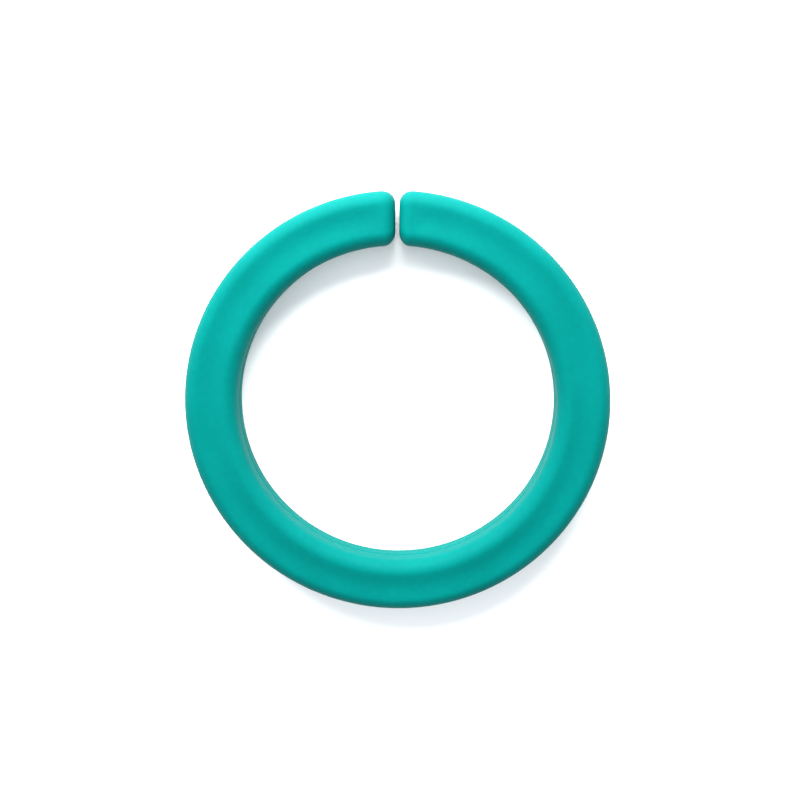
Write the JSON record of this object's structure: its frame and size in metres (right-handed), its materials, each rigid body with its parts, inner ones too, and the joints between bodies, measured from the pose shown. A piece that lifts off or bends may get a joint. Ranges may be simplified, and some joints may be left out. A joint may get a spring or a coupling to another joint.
{
  "type": "teething ring",
  "caption": "Soft-skinned split ring of rounded square section with one narrow slit; it flexes open to link onto straps, toys or other rings and springs shut.",
  "frame": {"origin": "on the ring's axis, in the plane of the back face that it lies on", "axes": "+Z along the ring's axis, out of the front face; +Y from the axis towards the slit; +X to the right as seen from the front"},
  "size_m": [0.075, 0.0749, 0.009],
  "materials": {
    "skin": "soft satin teal, moulded",
    "core": "natural, unpainted"
  },
  "bodies": {
    "left_base": {"front_half_left_base": "skin", "back_half_left_base": "skin", "core_left_base": "core"},
    "right_base": {"front_half_right_base": "skin", "back_half_right_base": "skin", "core_right_base": "core"},
    "left_arm": {"front_half_left_arm": "skin", "back_half_left_arm": "skin", "core_left_arm": "core"},
    "right_arm": {"front_half_right_arm": "skin", "back_half_right_arm": "skin", "core_right_arm": "core"}
  },
  "joints": [
    {"name": "base_twist", "type": "hinge", "parent": "left_base", "child": "right_base", "pos_m": [0, -0.03285, 0.0045], "axis": [1, 0, 0], "range_deg": [-9, 9], "stiffness_Nm_per_rad": 0.85},
    {"name": "right_spread", "type": "hinge", "parent": "right_base", "child": "right_arm", "pos_m": [0.02873, -0.0241, 0.0045], "axis": [0, 0, -1], "range_deg": [0, 7], "stiffness_Nm_per_rad": 2.6},
    {"name": "left_spread", "type": "hinge", "parent": "left_base", "child": "left_arm", "pos_m": [-0.02873, -0.0241, 0.0045], "axis": [0, 0, 1], "range_deg": [0, 7], "stiffness_Nm_per_rad": 2.6}
  ],
  "couplings": [
    {"joint": "left_spread", "follows": "right_spread", "ratio": 1}
  ]
}
